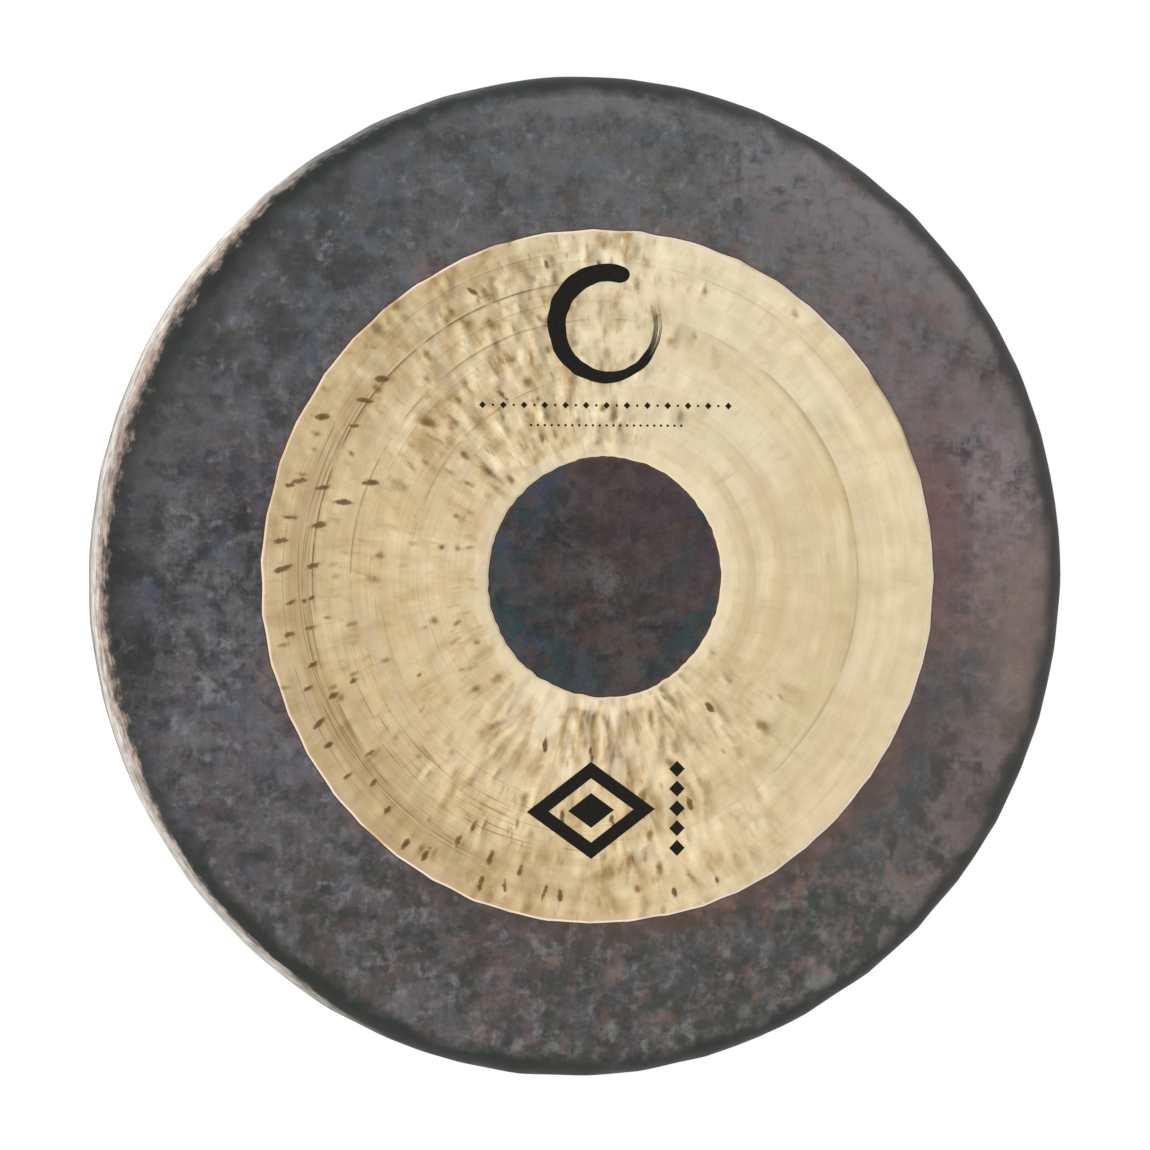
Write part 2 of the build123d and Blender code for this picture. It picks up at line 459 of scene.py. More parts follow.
MIDDLE = WALL / 2
front_outer = outer_surface(0, front_maps)
middle_outer = every_fourth(outer_surface(MIDDLE, front_maps))
back_outer = outer_surface(WALL, back_maps)
front_band = band_surface(FRONT_Y, SCALE_STEP, front_maps)
middle_band = every_fourth(band_surface(FRONT_Y + MIDDLE, 0, front_maps))
back_band = band_surface(FRONT_Y + WALL, -SCALE_STEP, back_maps)
front_centre = centre_surface(FRONT_Y, front_maps)
middle_centre = every_fourth(centre_surface(FRONT_Y + MIDDLE, front_maps))
back_centre = centre_surface(FRONT_Y + WALL, back_maps)
middle_pole = pole(FRONT_Y + MIDDLE, front_maps)

outer_front = outer_piece("outer_scale_front_hammered", (front_outer, middle_outer))
outer_back = outer_piece("outer_scale_back_hammered", (back_outer, middle_outer))
band_front = ring_solid("bronze_band_front", np.concatenate([front_band, middle_band[::-1]]))
band_back = ring_solid("bronze_band_back", np.concatenate([back_band, middle_band[::-1]]))
centre_front = disc_solid("centre_scale_front_hammered",
                          np.concatenate([front_centre, middle_centre[::-1]]),
                          pole(FRONT_Y, front_maps), middle_pole)
centre_back = disc_solid("centre_scale_back_hammered",
                         np.concatenate([back_centre, middle_centre[::-1]]),
                         pole(FRONT_Y + WALL, back_maps), middle_pole)


def drill(piece, angle):
    """Cuts a suspension hole square through the rim at an angle round the gong."""
    turn = math.radians(angle)
    y = EDGE_Y - HOLE_TO_EDGE
    radius = PROFILE[-1, 0] + (EDGE_Y - y) * math.tan(RIM_LEAN) - MIDDLE
    radial = Vector((math.cos(turn), 0, math.sin(turn)))
    square = radial * math.cos(RIM_LEAN) + Vector((0, math.sin(RIM_LEAN), 0))
    side = square.cross(Vector((0, 1, 0))).normalized()
    up = side.cross(square)
    middle = radial * radius + Vector((0, y, 0))
    sides = 48
    ends = []
    for reach in (-6 * MM, 6 * MM):
        ends.append([middle + square * reach
                     + HOLE_RADIUS * (side * math.cos(2 * math.pi * i / sides)
                                      + up * math.sin(2 * math.pi * i / sides))
                     for i in range(sides)])
    faces = [(i, (i + 1) % sides, sides + (i + 1) % sides, sides + i) for i in range(sides)]
    faces += [tuple(range(sides)), tuple(range(sides, 2 * sides))]
    bit = new_piece("bit", [tuple(p) for end in ends for p in end], faces)
    cut = piece.modifiers.new("hole", "BOOLEAN")
    cut.operation, cut.object, cut.solver = "DIFFERENCE", bit, "MANIFOLD"
    graph = bpy.context.evaluated_depsgraph_get()
    mesh = bpy.data.meshes.new_from_object(piece.evaluated_get(graph))
    piece.modifiers.remove(cut)
    old, piece.data = piece.data, mesh
    mesh.name = piece.name
    bpy.data.meshes.remove(old)
    bpy.data.objects.remove(bit)


for piece in (outer_front, outer_back):
    for angle in HOLE_ANGLES:
        drill(piece, angle)
    tidy_normals(piece)


# ---------------------------------------------------------------- printed marks

INK = 0.09 * MM
INK_ROOT = 0.04 * MM


def band_y(x, z):
    return FRONT_Y + SCALE_STEP + front_maps[0].sample(x, z)


def slab(grid, closed=False):
    """A thin closed slab lying on the band, from a grid of (x, z) points."""
    grid = np.asarray(grid, dtype=float)
    rows, columns = grid.shape[:2]
    x, z = grid[..., 0].ravel(), grid[..., 1].ravel()
    y = band_y(x, z)
    top = np.stack([x, y - INK, z], axis=1)
    root = np.stack([x, y + INK_ROOT, z], axis=1)
    size = rows * columns
    faces = []
    for i in range(rows if closed else rows - 1):
        nxt = (i + 1) % rows
        for j in range(columns - 1):
            a, b = i * columns + j, nxt * columns + j
            faces.append((a, a + 1, b + 1, b))
            faces.append((size + a, size + b, size + b + 1, size + a + 1))
        for j in (0, columns - 1):
            a, b = i * columns + j, nxt * columns + j
            faces.append((a, b, size + b, size + a))
    if not closed:
        for i in (0, rows - 1):
            for j in range(columns - 1):
                a = i * columns + j
                faces.append((a, a + 1, size + a + 1, size + a))
    return np.concatenate([top, root]), faces


def ink_piece(name, slabs):
    points, faces, start = [], [], 0
    for slab_points, slab_faces in slabs:
        points.append(slab_points)
        faces += [tuple(start + v for v in f) for f in slab_faces]
        start += len(slab_points)
    return new_piece(name, np.concatenate(points), faces)


def middle_and_size(node):
    low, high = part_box(node)
    return ((low.x + high.x) / 2, (low.z + high.z) / 2), (high.x - low.x, high.z - low.z)


def diamond_grid(middle, width, height, count=4):
    """A diamond as a grid turned on its corner."""
    ticks = np.linspace(-0.5, 0.5, count)
    return [[(middle[0] + (u + v) * width / 2, middle[1] + (u - v) * height / 2)
             for v in ticks] for u in ticks]


def dot_grid(middle, radius, count=5):
    """A disc as a square grid pulled round."""
    ticks = np.linspace(-1, 1, count)
    return [[(middle[0] + radius * u * math.sqrt(1 - v * v / 2),
              middle[1] + radius * v * math.sqrt(1 - u * u / 2)) for v in ticks] for u in ticks]


def diamond_frame(middle, width, height, hole_share):
    """A closed frame of diamond outline, hole_share open."""
    corners = [(0.5, 0), (0, 0.5), (-0.5, 0), (0, -0.5)]
    side_points = 24
    grid = []
    for i, (cx, cz) in enumerate(corners):
        nx, nz = corners[(i + 1) % 4]
        for step in range(side_points):
            t = step / side_points
            px, pz = cx + (nx - cx) * t, cz + (nz - cz) * t
            grid.append([(middle[0] + px * width * s, middle[1] + pz * height * s)
                         for s in np.linspace(hole_share, 1, 8)])
    return grid


def brushed_ring(middle, size):
    """An open brush ring: full where the stroke starts, and split into bristles at its end."""
    local = np.random.default_rng(11)
    outer, inner, shift = size / 2, size / 2 * 0.73, size * 0.041
    start, body_end, tail_end = 62, 318, 396
    rough = smooth_noise((720, 2), (9.0, 0.01), local) * size * 0.0025

    def edge(angle, across):
        """Radius of the stroke at an angle, across it from 0, inside, to 1, outside."""
        turn = math.radians(angle)
        uneven = [np.interp(2 * angle, np.arange(1440), np.tile(rough[:, i], 2)) for i in (0, 1)]
        inside = inner + shift * math.cos(turn + math.radians(35)) + uneven[0]
        outside = outer - size * 0.012 + uneven[1]
        round_start = math.sqrt(max(0.0, 1 - (1 - min(1.0, (angle - start) / 9)) ** 2))
        thin = 1 - 0.25 * max(0.0, (angle - 250) / (tail_end - 250))
        middle_r, half = (inside + outside) / 2, (outside - inside) / 2 * thin
        return middle_r + (2 * across - 1) * half * max(0.05, round_start)

    def place(angle, across):
        turn, r = math.radians(angle), edge(angle, across)
        return middle[0] + r * math.cos(turn), middle[1] + r * math.sin(turn)

    body = [[place(a, v) for v in np.linspace(0, 1, 12)] for a in np.linspace(start, body_end, 420)]
    slabs = [slab(body)]
    cuts = np.cumsum(np.r_[0, local.uniform(0.6, 1.4, 9)])
    cuts /= cuts[-1]
    for low, high in zip(cuts[:-1], cuts[1:]):
        end = local.uniform(body_end + 22, tail_end)
        strip = []
        for a in np.linspace(body_end, end, 34):
            t = (a - body_end) / (end - body_end)
            mid, half = (low + high) / 2, (high - low) / 2 * (1 - 0.75 * t ** 1.5)
            strip.append([place(a, mid + half * s) for s in (-1, -0.33, 0.33, 1)])
        slabs.append(slab(strip))
    return slabs


def spread(count, length):
    return (np.arange(count) / (count - 1) - 0.5) * length


def make_ink():
    middle, size = middle_and_size("ink_brushed_ring")
    ring = ink_piece("ink_brushed_ring_print", brushed_ring(middle, size[1]))

    middle, size = middle_and_size("ink_upper_rule")
    row = []
    for i, x in enumerate(spread(25, size[0] - size[1])):
        place = (middle[0] + x, middle[1])
        grid = diamond_grid(place, size[1], size[1]) if i % 2 == 0 else dot_grid(place, 1.1 * MM)
        row.append(slab(grid))
    upper = ink_piece("ink_upper_rule_print", row)

    middle, size = middle_and_size("ink_lower_rule")
    lower = ink_piece("ink_lower_rule_print", [
        slab(dot_grid((middle[0] + x, middle[1]), size[1] / 2))
        for x in spread(23, size[0] - size[1])])

    middle, size = middle_and_size("ink_lozenge")
    lozenge = ink_piece("ink_lozenge_print", [
        slab(diamond_frame(middle, *size, 0.66), closed=True),
        slab(diamond_grid(middle, size[0] * 0.36, size[1] * 0.36, 16))])

    middle, size = middle_and_size("ink_diamond_column")
    column = ink_piece("ink_diamond_column_print", [
        slab(diamond_grid((middle[0], middle[1] + z), size[0], size[0], 8))
        for z in spread(5, size[1] - size[0])])
    return {"ink_brushed_ring": ring, "ink_upper_rule": upper, "ink_lower_rule": lower,
            "ink_lozenge": lozenge, "ink_diamond_column": column}


ink = make_ink()


# ---------------------------------------------------------------- fields on the meshes

def set_field(piece, name, values):
    piece.data.attributes.new(name, "FLOAT", "POINT").data.foreach_set(
        "value", np.asarray(values, dtype=np.float32))


def points_of(piece):
    flat = np.empty(len(piece.data.vertices) * 3)
    piece.data.vertices.foreach_get("co", flat)
    return flat.reshape(-1, 3)


def gap_from(points, radius, edge):
    """Distance outwards from an uneven circle about the lathe's centre."""
    x, z = points[:, 0] - BAND_CENTRE[0], points[:, 2] - BAND_CENTRE[1]
    turn = np.arctan2(z, x) % (2 * np.pi)
    return np.hypot(x, z) - radius - np.interp(turn, np.r_[ROUND, 2 * np.pi], np.r_[edge, edge[0]])


for piece, maps in ((outer_front, front_maps), (centre_front, front_maps), (band_front, front_maps),
                    (outer_back, back_maps), (centre_back, back_maps), (band_back, back_maps)):
    points = points_of(piece)
    set_field(piece, "stain", maps[1].sample(points[:, 0], points[:, 2]))
    set_field(piece, "pit", maps[2].sample(points[:, 0], points[:, 2]))
    set_field(piece, "band_gap", gap_from(points, BAND_RADIUS, BAND_EDGE))
    set_field(piece, "centre_gap", gap_from(points, CENTRE_RADIUS, CENTRE_EDGE))


# ---------------------------------------------------------------- materials

def tone(red, green, blue):
    """A colour from its 0 to 255 display values."""
    parts = [v / 255 for v in (red, green, blue)]
    return (*[v / 12.92 if v < 0.04045 else ((v + 0.055) / 1.055) ** 2.4 for v in parts], 1.0)


class Tree:
    """A node tree, emptied, with short forms for its nodes."""

    def __init__(self, tree):
        self.nodes, self.links = tree.nodes, tree.links
        self.nodes.clear()

    def feed(self, socket, value):
        """Links an output to a socket, or sets the socket to a number or a colour."""
        if isinstance(value, bpy.types.NodeSocket):
            self.links.new(value, socket)
        else:
            socket.default_value = tone(*value) if socket.type == "RGBA" else value

    def node(self, kind, inputs, output=0, **settings):
        """A new node with its inputs fed, by index or name; gives one of its outputs, or None."""
        node = self.nodes.new("ShaderNode" + kind)
        for name, value in settings.items():
            setattr(node, name, value)
        for socket, value in inputs.items():
            self.feed(node.inputs[socket], value)
        return None if output is None else node.outputs[output]

    def math(self, operation, *values):
        return self.node("Math", dict(enumerate(values)), operation=operation)

    def plus(self, a, b):
        return self.math("ADD", a, b)

    def minus(self, a, b):
        return self.math("SUBTRACT", a, b)

    def hypot(self, a, b):
        return self.math("SQRT", self.plus(self.times(a, a), self.times(b, b)))

    def times(self, *values):
        total = values[0]
        for value in values[1:]:
            total = self.math("MULTIPLY", total, value)
        return total

    def most(self, *values):
        total = values[0]
        for value in values[1:]:
            total = self.math("MAXIMUM", total, value)
        return total

    def rise(self, value, low, high, top=1.0):
        """0 below low, top above high, and smooth between; high may be the lower."""
        ends = (low, high, 0.0, top) if low < high else (high, low, top, 0.0)
        return self.node("MapRange", dict(enumerate((value, *ends))),
                         interpolation_type="SMOOTHSTEP")

    def along(self, across, up, middle):
        """How far a place given by two coordinates lies in the direction middle."""
        turn = math.radians(middle)
        return self.plus(self.times(across, math.cos(turn)), self.times(up, math.sin(turn)))

    def apart(self, place):
        """The x, y and z of a place."""
        node = self.nodes.new("ShaderNodeSeparateXYZ")
        self.feed(node.inputs[0], place)
        return node.outputs


MID_BAND = 0.2                   # radius at which rays are as wide as they are asked to be


class Shader(Tree):
    """A Principled material, with short forms for what varies over the gong.

    Plain sizes are in mm, but for side's. Angles are in degrees, and colours in display values.
    """

    def __init__(self, name):
        self.material = bpy.data.materials.new(name)
        self.material.use_nodes = True
        super().__init__(self.material.node_tree)
        self.skin = self.nodes.new("ShaderNodeBsdfPrincipled")
        self.node("OutputMaterial", {"Surface": self.skin.outputs["BSDF"]}, None)
        self.place = self.node("TexCoord", {}, "Object")
        self.x, self.y, self.z = self.apart(self.place)
        self.axis_radius = self.hypot(self.x, self.z)
        east, north = self.minus(self.x, BAND_CENTRE[0]), self.minus(self.z, BAND_CENTRE[1])
        self.radius = self.hypot(east, north)
        reach = self.math("MAXIMUM", self.radius, 1e-5)
        self.cosine = self.math("DIVIDE", east, reach)
        self.sine = self.math("DIVIDE", north, reach)
        self.colour = None

    def set(self, **values):
        for name, value in values.items():
            self.feed(self.skin.inputs[name.replace("_", " ")], value)

    def weigh(self, first, *rest):
        """The sum of (value, weight) pairs."""
        total = self.times(*first)
        return self.plus(total, self.weigh(*rest)) if rest else total

    def about(self, noise, amount):
        """Noise moved to lie about 0, times amount."""
        return self.times(self.minus(noise, 0.5), amount)

    def rise_mm(self, value, low, high, top=1.0):
        """rise for a length, with the ends in mm."""
        return self.rise(value, low * MM, high * MM, top)

    def within(self, value, low, high, soft):
        """1 for a length between low and high, falling to 0 over soft on each side, in mm."""
        return self.times(self.rise_mm(value, low - soft, low),
                          self.rise_mm(value, high + soft, high))

    def facing(self, middle, half, soft):
        """1 for directions from the centre within half of middle, soft at the ends."""
        low, high = [math.cos(math.radians(a)) for a in (min(180, half + soft), max(0, half - soft))]
        return self.rise(self.along(self.cosine, self.sine, middle), low, high)

    def side(self, middle, low, high, top=1.0):
        """0 to top across the face, from low to high (metres) in the direction middle."""
        return self.rise(self.along(self.x, self.z, middle), low, high, top)

    def vector(self, x, y, z):
        return self.node("CombineXYZ", {0: x, 1: y, 2: z})

    def noise_at(self, vector, detail, rough=0.5, warp=0.0, size=1.0):
        """Noise about 0.5, with features about size across, in the vector's own units."""
        return self.node("TexNoise", {"Vector": vector, "Scale": 1 / size, "Detail": detail,
                                      "Roughness": rough, "Distortion": warp}, "Fac")

    def noise(self, size, seed, detail=4.0, rough=0.6, warp=0.3):
        """Noise about 0.5, with features about size across."""
        shift = (seed, seed * 0.7, -seed)
        place = self.node("VectorMath", {0: self.place, 1: shift})
        return self.noise_at(place, detail, rough, warp, size * MM)

    def patches(self, size, seed, low, high, detail=4.0, rough=0.6, warp=0.3):
        """Patches where noise rises from low to high."""
        return self.rise(self.noise(size, seed, detail, rough, warp), low, high)

    def polar(self, size, around, seed, detail):
        """Noise that changes over size outwards from the centre, and around times a radian."""
        place = self.vector(self.math("DIVIDE", self.radius, size * MM),
                            self.times(self.cosine, around),
                            self.plus(self.times(self.sine, around), seed))
        return self.noise_at(place, detail)

    def rings(self, size, around, seed=0.0, detail=2.0):
        """Noise in rings about the lathe's centre: size across a ring, around changes along it."""
        return self.polar(size, around, seed, detail)

    def rays(self, size, length, seed=0.0, detail=2.0):
        """Noise drawn out along the radius: size across at mid-band, length along."""
        return self.polar(length, MID_BAND / (size * MM), seed, detail)

    def strokes(self, width, length, seed):
        """Noise like brush strokes laid upright and level, width across and length along."""
        depth = self.math("MULTIPLY_ADD", self.y, 1 / (length * MM), seed)
        laid = [self.noise_at(self.vector(self.math("DIVIDE", self.x, across * MM), depth,
                                          self.math("DIVIDE", self.z, along * MM)),
                              4.0, 0.62, 0.25)
                for across, along in ((width, length), (length, width))]
        return self.times(self.plus(*laid), 0.5)

    def field(self, name):
        return self.node("Attribute", {}, "Fac", attribute_name=name)

    def mix(self, share, first, second, blend="MIX"):
        """A colour: first where share is 0, second where it's 1."""
        return self.node("Mix", {0: share, 6: first, 7: second}, 2,
                         data_type="RGBA", blend_type=blend)

    def blend(self, share, first, second):
        """A number: first where share is 0, second where it's 1."""
        return self.node("Mix", {0: share, 2: first, 3: second})

    def tint(self, colour, *shares):
        """Lays a colour over the colour so far, by the shares multiplied."""
        self.colour = self.mix(self.times(*shares), self.colour, colour)

    def brighten(self, colour, amount, share):
        """colour times 1 + amount x (share - 0.5) x 2."""
        factor = self.math("MULTIPLY_ADD", share, 2 * amount, 1 - amount)
        return self.mix(1.0, colour, self.vector(factor, factor, factor), "MULTIPLY")

    def vary(self, amount, share):
        self.colour = self.brighten(self.colour, amount, share)

    def bump(self, height, depth):
        """Small relief from a height of 0 to 1, depth deep."""
        self.set(Normal=self.node("Bump", {"Strength": 1.0, "Distance": depth * MM,
                                           "Height": height}))


# (share of the band's radius, middle and half-length in degrees, half-width in mm, strength)
SCRIBED = [
    (0.852, 142, 42, 0.55, 0.85), (0.742, 135, 50, 0.45, 0.6), (0.578, 138, 30, 0.4, 0.5),
    (0.866, 176, 34, 0.35, 0.5), (0.881, 196, 46, 0.4, 0.5), (0.893, 214, 30, 0.3, 0.45),
    (0.705, 150, 22, 0.3, 0.35), (0.795, 118, 26, 0.3, 0.35), (0.765, 0, 66, 0.5, 0.3),
    (0.938, 160, 60, 0.3, 0.35), (0.66, 208, 40, 0.3, 0.3), (0.91, 70, 40, 0.3, 0.25),
]


def scribed_lines(s, lines):
    """Fine circular lines that the lathe tool left, each over part of a turn, and their lit lips."""
    dark, lit = 0.0, 0.0
    broken = s.rings(9, 9.0, seed=3)
    for i, (share, middle, half, width, strength) in enumerate(lines):
        sway = s.about(s.noise_at(s.vector(s.cosine, s.sine, 4.0 * i), 1.0, 0.55, size=0.9), 5 * MM)
        past = s.minus(s.minus(s.radius, share * BAND_RADIUS), sway)
        off = s.math("ABSOLUTE", past)
        line = s.rise_mm(off, width * 1.8, width * 0.5, strength)
        soft = s.rise_mm(off, width * 7, 0.0, strength * 0.38)
        lip = s.within(past, width * 2, width * 4, width)
        there = s.times(s.facing(middle, half, 9), s.rise(broken, 0.34, 0.54))
        dark = s.most(dark, s.times(s.most(line, soft), there))
        lit = s.most(lit, s.times(lip, there, strength * 0.7))
    return dark, lit


def streaks(s, low, high, middle, half, seed):
    """A bundle of fine dark lathe streaks between two shares of the band's radius."""
    lines = s.rise(s.rings(1.6, 5.0, seed, detail=1.0), 0.56, 0.70)
    band = BAND_RADIUS / MM
    return s.times(lines, s.within(s.radius, low * band, high * band, 5), s.facing(middle, half, 14))


def bronze(name, front):
    """Bare bronze, lathed in fine rings over the hammer marks."""
    s = Shader(name)
    centre_gap, band_gap = s.field("centre_gap"), s.field("band_gap")
    patches = s.noise(22, 5, 2.0, 0.55, 0.5)
    small = s.noise(7, 8, 3.0)
    s.colour = s.mix(s.side(20, -0.22, 0.24), (231, 205, 158), (216, 198, 162))
    # painted highlight: paler at the upper right, growing out from the centre
    s.tint((240, 227, 194), s.facing(62, 16, 32), s.rise_mm(s.radius, 95, 150), 0.7)
    s.tint((217, 201, 165), s.facing(12, 30, 26), s.rise_mm(s.radius, 205, 250), 0.9)
    s.vary(0.07, s.noise(90, 2, 2.0, 0.5, 0.0))
    # painted shade and highlights of the crumpled face: tan and pale patches and creases along the
    # radius
    worked = s.most(s.facing(112, 30, 26), s.times(s.facing(266, 33, 26), 0.9),
                    s.times(s.facing(190, 40, 40), 0.45), s.times(s.facing(50, 26, 24), 0.28),
                    0.18, s.times(s.facing(308, 16, 20), s.rise_mm(s.radius, 236, 206), 0.6))
    drawn = s.rays(12, 33, seed=1, detail=2.5)
    blotches = s.noise(23, 35, 3.0, 0.52)
    uneven = s.blend(s.side(90, -0.05, 0.08), s.weigh((patches, 0.4), (drawn, 0.6)),
                     s.weigh((blotches, 0.55), (drawn, 0.45)))
    s.tint((172, 140, 90), s.rise(uneven, 0.48, 0.70), worked)
    s.tint((253, 238, 202), s.rise(uneven, 0.51, 0.34), worked,
           s.plus(s.side(-90, 0.05, -0.05, 0.4), 0.56))
    # painted shade and painted highlights along the creases
    crease_shading = s.rays(5.5, 16, seed=72)
    s.tint((148, 117, 74), s.rise(crease_shading, 0.58, 0.74), worked, 0.58)
    s.tint((253, 240, 208), s.rise(crease_shading, 0.42, 0.27), worked, 0.45)
    s.tint((138, 106, 62), s.rise(s.plus(s.field("stain"), s.about(small, 0.9)), 0.08, 1.05))
    # painted highlights: pale patches low down, near the centre
    s.tint((247, 234, 208), s.facing(252, 22, 14), s.rise_mm(s.radius, 190, 150),
           s.rise(uneven, 0.58, 0.42), 0.5)
    # the lathe's rings, broad at the right and fine all round
    sway = s.about(s.noise_at(s.vector(s.cosine, s.sine, 50.0), 1.0, 0.55, size=0.7), 12 * MM)
    swayed = s.plus(s.radius, sway)
    at_right = s.side(0, 0.02, 0.12)
    for low, high, soft, share in ((158, 227, 9, 0.12), (208, 227, 24, 0.32), (127, 133, 5, 0.45),
                                   (150, 160, 7, 0.36), (244, 250, 5, 0.20), (270, 276, 4, 0.20)):
        s.tint((198, 178, 132), s.rise_mm(swayed, low - soft, low),
               s.rise_mm(swayed, high + 2, high), at_right, share)
    s.tint((178, 154, 106), s.rise_mm(swayed, 221, 226), s.rise_mm(swayed, 228, 226.5),
           s.facing(12, 46, 22), s.rise(s.rings(50, 3.0, seed=30), 0.36, 0.6), 0.48)
    calm = s.blend(worked, 1.0, 0.45)
    s.tint((217, 190, 154), s.rise(s.rings(24, 2.4, seed=64, detail=3.0), 0.46, 0.66),
           s.blend(at_right, 0.5, 0.4), calm)
    s.tint((236, 219, 186), s.rise(s.rings(17, 2.0, seed=66, detail=3.0), 0.50, 0.66),
           s.blend(at_right, 0.42, 0.45), calm)
    s.vary(0.10, s.rings(20, 1.2, seed=7))
    s.vary(0.08, s.rings(8, 1.6, seed=17))
    fine = s.rings(2.8, 2.2, seed=9)
    s.vary(0.12, s.plus(0.5, s.about(fine, s.blend(s.side(180, -0.05, 0.15), 0.35, 1.0))))
    # pale by the centre, tan in parts of the outer band
    s.tint((240, 222, 187), s.rise_mm(s.plus(centre_gap, s.times(patches, 14 * MM)), 22, 17),
           s.blend(s.facing(285, 26, 14), 0.7, 0.2))
    s.tint((172, 140, 92), s.within(swayed, 257, 272, 4), s.facing(198, 48, 24),
           s.blend(s.rings(1.3, 3.0, seed=40, detail=1.0), 0.05, 0.62))
    s.tint((172, 142, 94), s.rise_mm(s.radius, 222, 248), s.most(
        s.times(s.facing(238, 34, 18), s.blend(s.rings(9, 4.0, seed=74), 0.0, 0.62)),
        s.times(s.facing(128, 16, 12), 0.28)))
    # scribed lines and streaks, then the pits
    dark, lit = scribed_lines(s, SCRIBED if front else SCRIBED[::3])
    bundles = s.most(streaks(s, 0.855, 0.895, 190, 52, 2), streaks(s, 0.70, 0.80, 236, 34, 5),
                     s.times(streaks(s, 0.45, 0.84, 170, 50, 8), 0.2))
    s.tint((244, 226, 190), lit)
    s.tint((128, 96, 58), s.most(dark, s.times(bundles, 0.5)))
    rough_pit = s.plus(s.field("pit"), s.about(small, 1.2))
    pit = s.rise(rough_pit, 0.44, 0.64, 0.9)
    s.tint((190, 156, 106), s.rise(rough_pit, 0.15, 0.6, 0.4))
    s.tint(s.mix(s.rise(rough_pit, 0.6, 1.0), (126, 98, 60), (92, 68, 38)), pit)
    # lit edges
    bevel = s.times(s.rise_mm(band_gap, -2.0, -1.3), s.rise_mm(band_gap, 0.1, -0.3),
                    s.rise(s.rings(30, 5.0, seed=20), 0.30, 0.50),
                    s.blend(s.facing(168, 34, 22), 1.0, 0.5))
    s.tint((250, 232, 220), bevel)
    lip = s.rise_mm(centre_gap, 3.4, 1.6, 0.8)
    s.tint((238, 219, 186), lip)
    rough = s.plus(s.blend(s.rise(patches, 0.4, 0.7), 0.25, 0.32), s.times(pit, 0.25))
    s.set(Base_Color=s.colour, Roughness=rough,
          Metallic=s.blend(s.most(pit, s.times(bevel, 0.9), lip), 1.0, 0.4))
    s.bump(s.weigh((fine,), (small, 0.6)), 0.04)
    return s.material


def oxide(s, clouds, dark, light):
    """Mottled oxide between two colours: clouds, brushed smaller clouds and grain."""
    brushed = s.weigh((s.strokes(4.5, 16, 21), 0.46), (s.noise(10, 22, 4.0, 0.58), 0.54))
    grain = s.noise(2.4, 6, 2.0, 0.6, 0.0)
    share = s.weigh((clouds, 0.50), (brushed, 0.42), (grain, 0.08))
    s.colour = s.mix(s.rise(share, 0.405, 0.61), dark, light)
    return brushed, grain


def oxide_relief(s, clouds, brushed, grain):
    s.bump(s.weigh((clouds,), (brushed, 0.5), (grain, 0.2)), 0.15)


